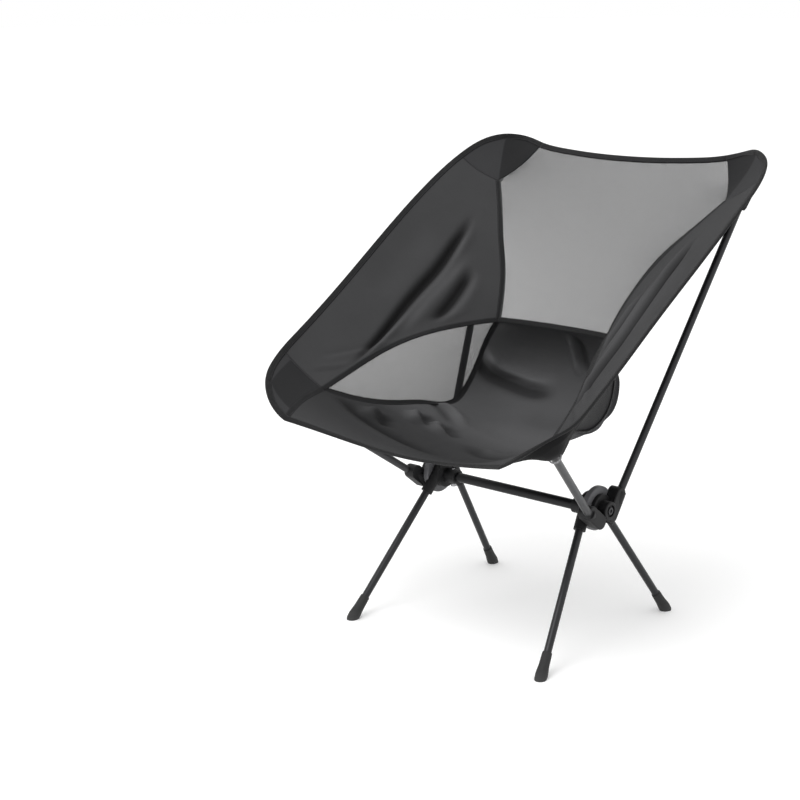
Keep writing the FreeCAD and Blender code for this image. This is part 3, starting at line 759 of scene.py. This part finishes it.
def seatGrid():
    side = joinLines(edges["seatSide"], edges["meshFoot"], edges["pocketOnSeat"].back())
    middle = edges["seatMiddle"]
    columns, rows = gridSize["seat"]
    v = np.linspace(0, 1, rows)
    edge, centre = side.at(v), middle.at(v)
    power = np.interp(v * (len(seatSquareness) - 1), range(len(seatSquareness)), seatSquareness)
    s = np.sin(np.pi / 2 * np.linspace(-1, 1, columns))[None, :]
    share = np.abs(s) ** power[:, None]
    rise = np.abs(s) ** np.maximum(power - 1, 2)[:, None]
    grid = np.empty((rows, columns, 3))
    grid[..., 0] = edge[:, 0:1] * s
    grid[..., 1] = centre[:, 1:2] + (edge[:, 1] - centre[:, 1])[:, None] * share
    grid[..., 2] = centre[:, 2:3] + (edge[:, 2] - centre[:, 2])[:, None] * rise
    return grid


def rearPocketGrid():
    grid = coons(edges["pocketOnMesh"], edges["rearOuter"], edges["rearInner"], edges["pocketOnWing"],
                 *gridSize["pocket"])
    return relaxed(grid, rounds["pocket"])


def frontPocketGrid():
    grid = coons(edges["pocketOnSeat"].back(), edges["frontOuter"], edges["pocketOnFront"],
                 edges["frontInner"].back(), *gridSize["pocket"])
    return relaxed(grid, rounds["pocket"])


def poleAxis(end):
    # the line up a pole on the sitter's left, from its socket to beyond its tip's travel
    low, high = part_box("pole_tip_" + end + "_left")
    tip = np.array((low + high) / 2)
    base = np.array(poleFoot[end]) + (0, barY, 0)
    run = unit(tip - base)
    return base, tip + run * tipTravel, run


def pouch(grid, end):
    # the cloth behind a corner pocket, which lies over the pole's tip
    base, tip, run = poleAxis(end)
    roundness, spread, power = cup[end]
    normal = normalsOf(grid)
    toPole = (base - grid.mean(axis=(0, 1)))
    if (normal.mean(axis=(0, 1)) * toPole).sum() < 0:
        normal = -normal
    along = np.clip(((grid - base) * run).sum(axis=2), 0, np.linalg.norm(tip - base))
    nearest = base + run * along[..., None]
    gap = nearest - grid
    depth = (gap * normal).sum(axis=2)
    away = np.linalg.norm(gap - normal * depth[..., None], axis=2)
    height = np.maximum(depth + roundness, cup["least"]) / (1 + (away / spread) ** power)
    rows, columns = grid.shape[:2]
    u = np.linspace(0, 1, columns)[None, :]
    v = np.linspace(0, 1, rows)[:, None]
    fromClosed = v if end == "rear" else 1 - v
    sewnSides = np.minimum(np.minimum(u, 1 - u) / cup["sewn"], 1)
    pinned = sewnSides * (np.minimum(fromClosed, cup["sewn"]) / cup["sewn"])
    # painted highlight where the cloth lies over the pole's tip and painted shade around it
    tone = cup["shadeSwing"] / (1 + (away / cup["shadeWidth"]) ** 4) - cup["shadeDark"]
    return grid + normal * (height * np.minimum(pinned, 1) + cup["behind"])[..., None], tone


def panel(name, grid, kind, isFlat=True, paintedLight=None):
    slotName, thickness = panelKinds[kind]
    piece = gridPiece(name, grid, sling[thickness], finishes[kind], isFlat, paintedLight)
    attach(piece, "seat_frame")
    return piece


def band(name, edge, inner, kind, side=1):
    # a hem or tape along an edge; a hem lies inside the edge by a share of its width
    style = bands[kind]
    width, inset = style["width"], style["width"] * style["inset"]
    piece = tapePiece(name, sideEdge(edge, side), sideEdge(inner - edge, side), width, style["thick"], inset,
                      finishes[style["finish"]])
    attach(piece, "seat_frame")
    return piece


def poleLoop(name, end, rim, side):
    # a webbing ring at the cup's mouth, which the pole passes through
    base, _, run = poleAxis(end)
    middle = rim[len(rim) // 2]
    reach = (middle - base) @ run
    centre = base + run * (reach - loop["below"])
    up = unit(middle - base - run * reach)
    across = np.cross(run, up)
    turns = np.linspace(0, 2 * np.pi, loop["places"])[:, None]
    points = centre + loop["clear"] * (across * np.cos(turns) + up * np.sin(turns))
    inward = np.repeat(run[None], len(points), axis=0)
    piece = tapePiece(name, sideEdge(points, side), sideEdge(inward, side), loop["width"], loop["thick"], 0,
                      finishes["webbing"])
    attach(piece, "seat_frame")


def hemRun(rear, wing, front, inset):
    # the places along the outer hem, from the top hem to the front one, or that many rows inside it
    near, far = inset, -1 - inset
    return np.vstack([rear[near, :-1], rear[:-1, far], wing[:-1, far], front[:-1, far], front[far, ::-1]])


def sewMiddle(back, seat, seatPaintedLight):
    backPiece = panel("slingBackMesh", back, "mesh")
    seatPiece = panel("slingSeat", seat, "cloth", isFlat=False, paintedLight=seatPaintedLight)
    topHem = band("slingHemTop", back[0], back[3], "hem")
    frontHem = band("slingHemFront", seat[-1], seat[-4], "hem")
    waist = band("slingSeamMiddle", back[-1], back[-4], "seam")
    stretched(back)
    stretched(seat)
    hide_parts("sling_back_mesh")
    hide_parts("sling_seat")
    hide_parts("sling_hem_top")
    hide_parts("sling_hem_front")
    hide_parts("sling_seam_middle")


def sewSide(side, word, wing, wingPaintedLight, sideMesh, seat, pockets):
    tag = word.lower()
    # painted shade in the wing's creases and painted highlights on its ridges
    wingPiece = panel("slingWing" + word, sideOf(wing, side), "cloth", paintedLight=wingPaintedLight[:, ::side])
    meshPiece = panel("slingSideMesh" + word, sideOf(sideMesh, side), "sideMesh")
    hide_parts("sling_wing_" + tag)
    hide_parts("sling_side_mesh_" + tag)
    upperRows = gridSize["wing"][1]
    upper, lower = wing[:upperRows], wing[upperRows - 1:]
    backSeam = band("slingSeamBack" + word, upper[:, 0], upper[:, 2], "seam", side)
    wingSeam = band("slingSeamWing" + word, lower[:, 0], lower[:, 2], "seam", side)
    seatSeam = band("slingSeamSeat" + word, seat[:, -1], seat[:, -3], "seam", side)
    outer, inner = (hemRun(pockets["rear"], wing, pockets["front"], inset) for inset in (0, 3))
    hem = band("slingHemSide" + word, outer, inner, "hem", side)
    stretched(sideOf(wing, side))
    stretched(sideOf(sideMesh, side))
    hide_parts("sling_seam_back_" + tag)
    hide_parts("sling_seam_wing_" + tag)
    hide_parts("sling_seam_seat_" + tag)
    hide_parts("sling_hem_side_" + tag)


def sewCorner(side, word, end, pocket):
    corner, tag = end.capitalize() + word, end + "_" + word.lower()
    behind, cupPaintedLight = pouch(pocket, end)
    pocketPiece = panel("slingPocket" + corner, sideOf(pocket, side), "pocket",
                        paintedLight=pocketTone(pocket, end)[:, ::side])
    mouth, inner = (pocket[row] for row in mouthRows[end])
    pocketSeam = band("pocketSeam" + corner, mouth, inner, "pocket", side)
    poleLoop("poleLoop" + corner, end, mouth, side)
    pouchPiece = panel("slingPouch" + corner, sideOf(behind, side), "cup", paintedLight=cupPaintedLight[:, ::side])
    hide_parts("sling_pocket_" + tag)
    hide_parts("pocket_cup_" + tag)
    stretched(sideOf(pocket, side))
    stretched(sideOf(behind, side))


def makeSling():
    wing, wingLift = pushed(wingGrid(), wingFolds)
    seat, seatLift = pushed(seatGrid(), seatFolds)
    # painted shade in the seat's hollows and painted highlights on its ridges, with painted shading from the
    # back edge to the front hem
    seatPaintedLight = np.clip(creaseTone(seatLift) + seatTone(seat), -1, 1)
    sideMesh = sideMeshGrid()
    pockets = {"rear": rearPocketGrid(), "front": frontPocketGrid()}
    sewMiddle(backGrid(), seat, seatPaintedLight)
    for side, word in ((1, "Left"), (-1, "Right")):
        sewSide(side, word, wing, creaseTone(wingLift), sideMesh, seat, pockets)
        for end, pocket in pockets.items():
            sewCorner(side, word, end, pocket)


screw = {"radius": 0.0052, "height": 0.0026, "sides": 48, "socket": 0.0027, "depth": 0.0014, "bevel": 0.0006,
         "bevelSteps": 3, "seat": 0.1645, "aboveBar": 0.003}


def choose(piece):
    bpy.ops.object.select_all(action="DESELECT")
    piece.select_set(True)
    bpy.context.view_layer.objects.active = piece


def makeScrews():
    # a hexagon-socket screw in the dish on the outer side of each hub
    bpy.ops.object.select_all(action="DESELECT")
    bpy.ops.mesh.primitive_cylinder_add(vertices=screw["sides"], radius=screw["radius"],
                                        depth=screw["height"], location=(0, 0, 0))
    head = bpy.context.object
    head.name = "hubScrewLeft"
    rounding = head.modifiers.new("rounding", "BEVEL")
    rounding.width = screw["bevel"]
    rounding.segments = screw["bevelSteps"]
    rounding.limit_method = "ANGLE"
    bpy.ops.object.modifier_apply(modifier="rounding")
    bpy.ops.mesh.primitive_cylinder_add(vertices=6, radius=screw["socket"], depth=2 * screw["depth"],
                                        location=(0, 0, screw["height"] / 2))
    key = bpy.context.object
    choose(head)
    cut = head.modifiers.new("socket", "BOOLEAN")
    cut.operation = "DIFFERENCE"
    cut.solver = "EXACT"
    cut.object = key
    bpy.ops.object.modifier_apply(modifier="socket")
    bpy.data.objects.remove(key)
    head.data.materials.clear()
    head.data.materials.append(finishes["screw"])
    twin = head.copy()
    twin.data = head.data.copy()
    twin.name = "hubScrewRight"
    bpy.context.scene.collection.objects.link(twin)
    axisZ = (barLow.z + barHigh.z) / 2 + screw["aboveBar"]
    for piece, side in ((head, 1), (twin, -1)):
        choose(piece)
        piece.rotation_euler = (0, side * math.pi / 2, 0)
        piece.location = (side * (screw["seat"] + screw["height"] / 2), barY, axisZ)
        bpy.ops.object.transform_apply(location=True, rotation=True, scale=True)
        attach(piece, "seat_frame")


# which finish the nodes get by how their names start: the longer start comes before the shorter one
nodeFinishes = {"crossbar_pins": "steel", "crossbar": "barTube", "hub_ring": "ring", "hub_": "hub",
                "leg_cord": "cord", "leg_": "blackTube", "foot_": "foot", "pole_tip": "hub",
                "pole_front": "litGreyTube", "pole_rear": "blackTube", "ferrule": "ferrule"}


def dressNodes():
    for name, node in nodes.items():
        for start, finish in nodeFinishes.items():
            if name.startswith(start):
                for slot in node.material_slots:
                    slot.material = finishes[finish]
                break


makeCamera()
makeStudio()
makeFinishes()
print("chair: studio and finishes made")
makeSling()
print("chair: sling sewn")
makeScrews()
dressNodes()
print("chair: hard parts finished")
